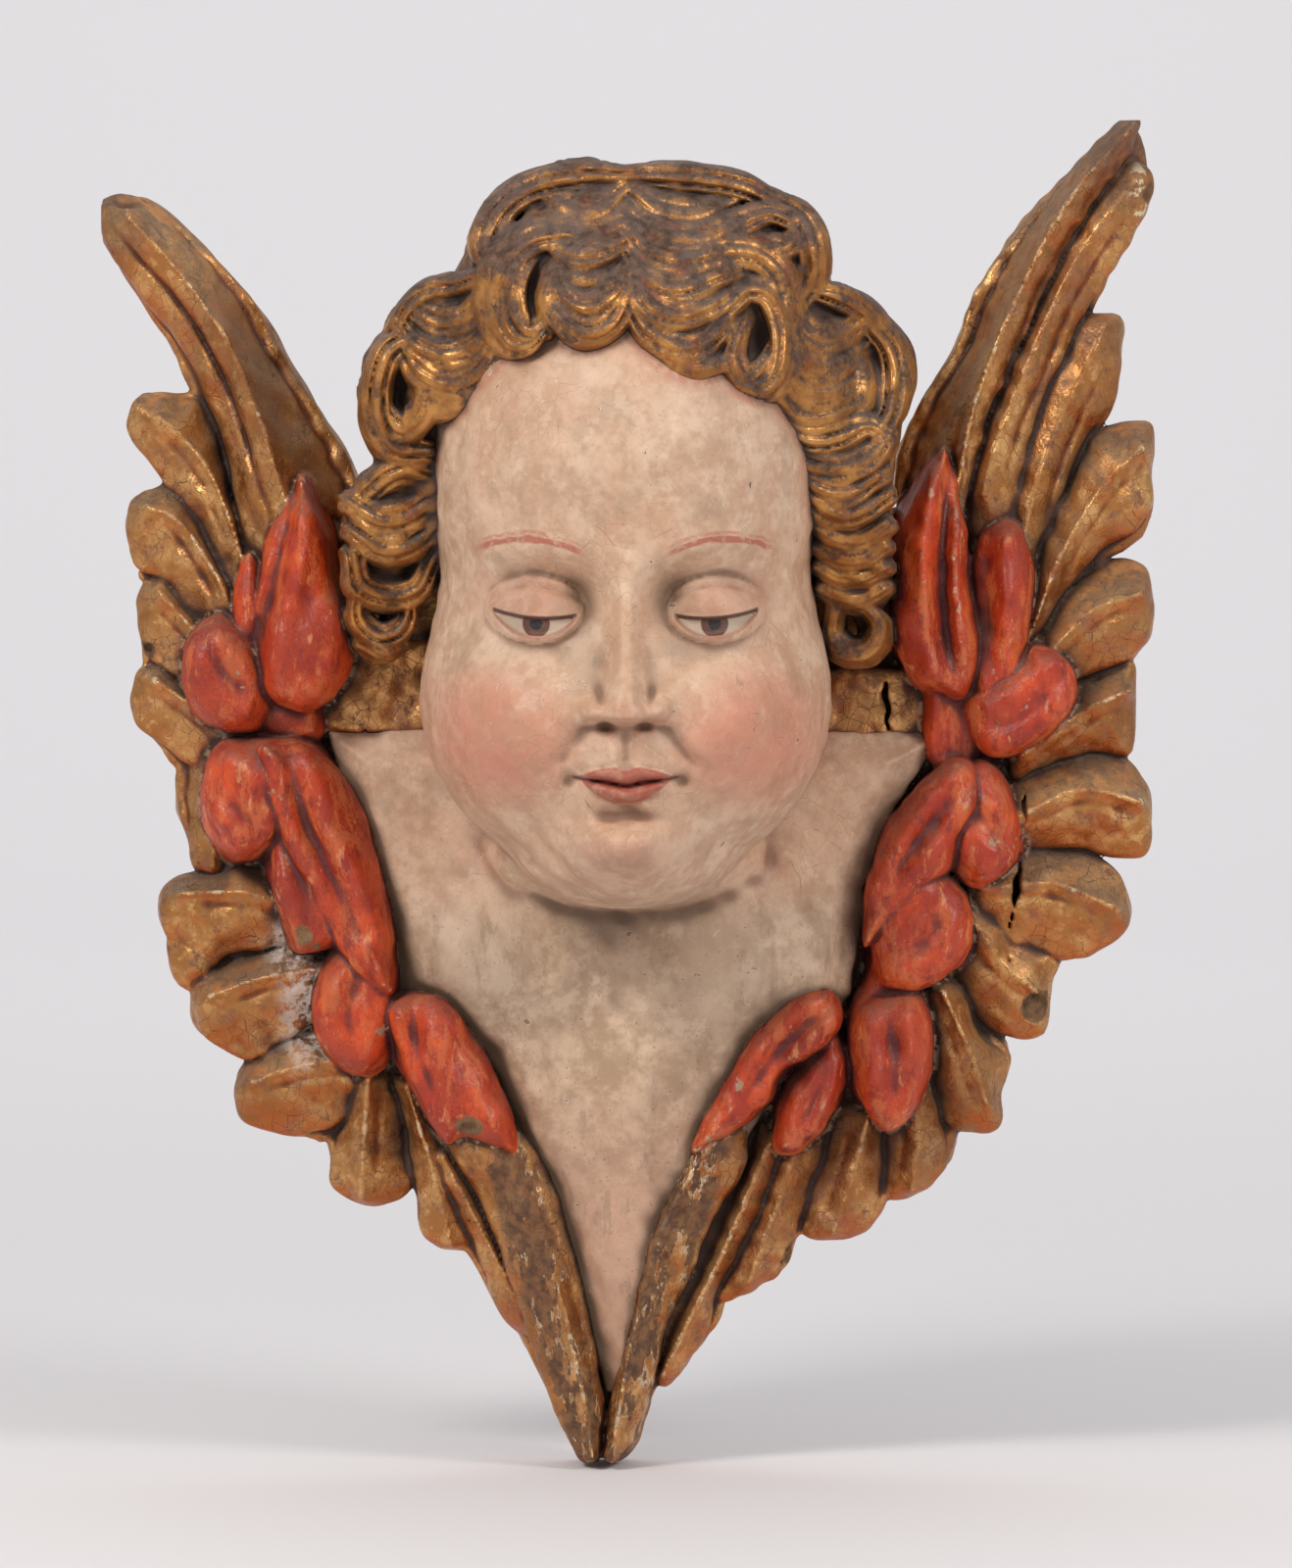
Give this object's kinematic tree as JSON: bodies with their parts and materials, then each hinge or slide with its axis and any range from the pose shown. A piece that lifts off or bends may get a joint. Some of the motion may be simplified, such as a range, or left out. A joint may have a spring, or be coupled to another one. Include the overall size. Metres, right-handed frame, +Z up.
{
  "type": "carved winged angel head",
  "caption": "Painted and gilded wooden infant angel's head between two feathered wings, carved in relief with a flat back for fixing to a wall.",
  "frame": {"origin": "on the flat back face, behind the chin, at the middle of the face's width", "axes": "+Y out of the flat back into the wall, so the face looks along -Y; +Z up, from the wing tips under the chest to the tips above the head"},
  "size_m": [0.3266, 0.1474, 0.4172],
  "materials": {
    "polychrome_wood": "carved wood with aged gilding on hair and flight feathers, vermilion paint on the small feathers and cream flesh paint on face and chest, worn and chipped"
  },
  "bodies": {
    "root": {"carved_angel_head": "polychrome_wood"}
  },
  "joints": []
}
